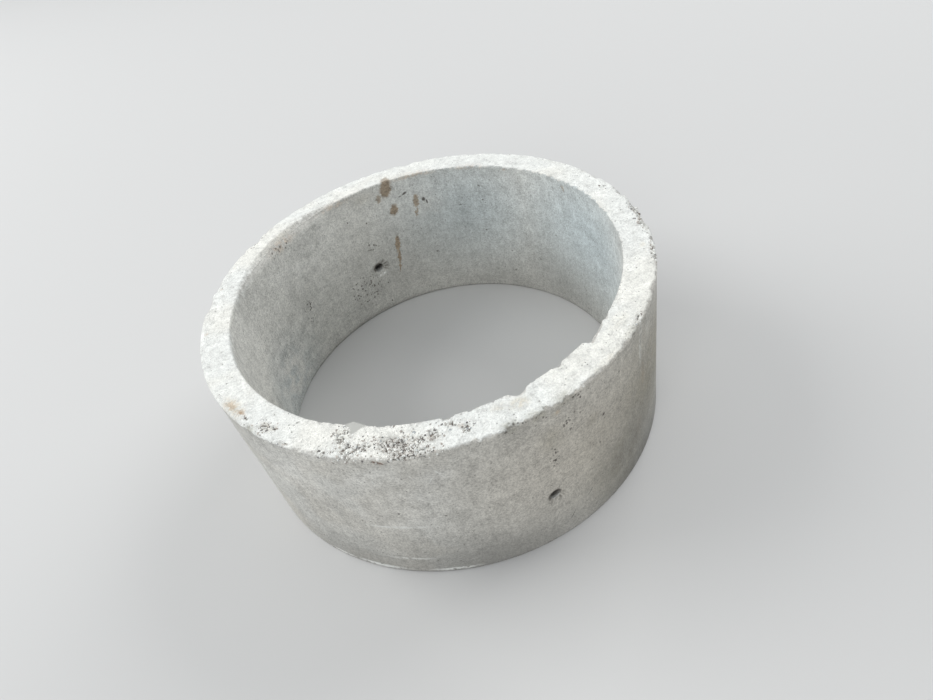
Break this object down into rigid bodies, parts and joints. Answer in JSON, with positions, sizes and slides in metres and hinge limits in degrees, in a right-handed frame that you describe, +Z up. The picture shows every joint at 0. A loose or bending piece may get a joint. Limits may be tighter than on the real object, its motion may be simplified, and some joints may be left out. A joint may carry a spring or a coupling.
{
  "type": "concrete well ring",
  "caption": "Precast concrete well ring: an open cylinder wall with flat bed faces, worn and chipped rim, and cross lifting holes.",
  "frame": {"origin": "centre of the lower bed face, on the ring's axis", "axes": "+Z up along the ring's axis; the lifting holes lie on the Y axis, the one in front at -Y"},
  "size_m": [1.04, 1.04, 0.42],
  "materials": {
    "concrete": "weathered cast concrete, pale worn rim, matte"
  },
  "bodies": {
    "root": {"well_ring": "concrete"}
  },
  "joints": []
}
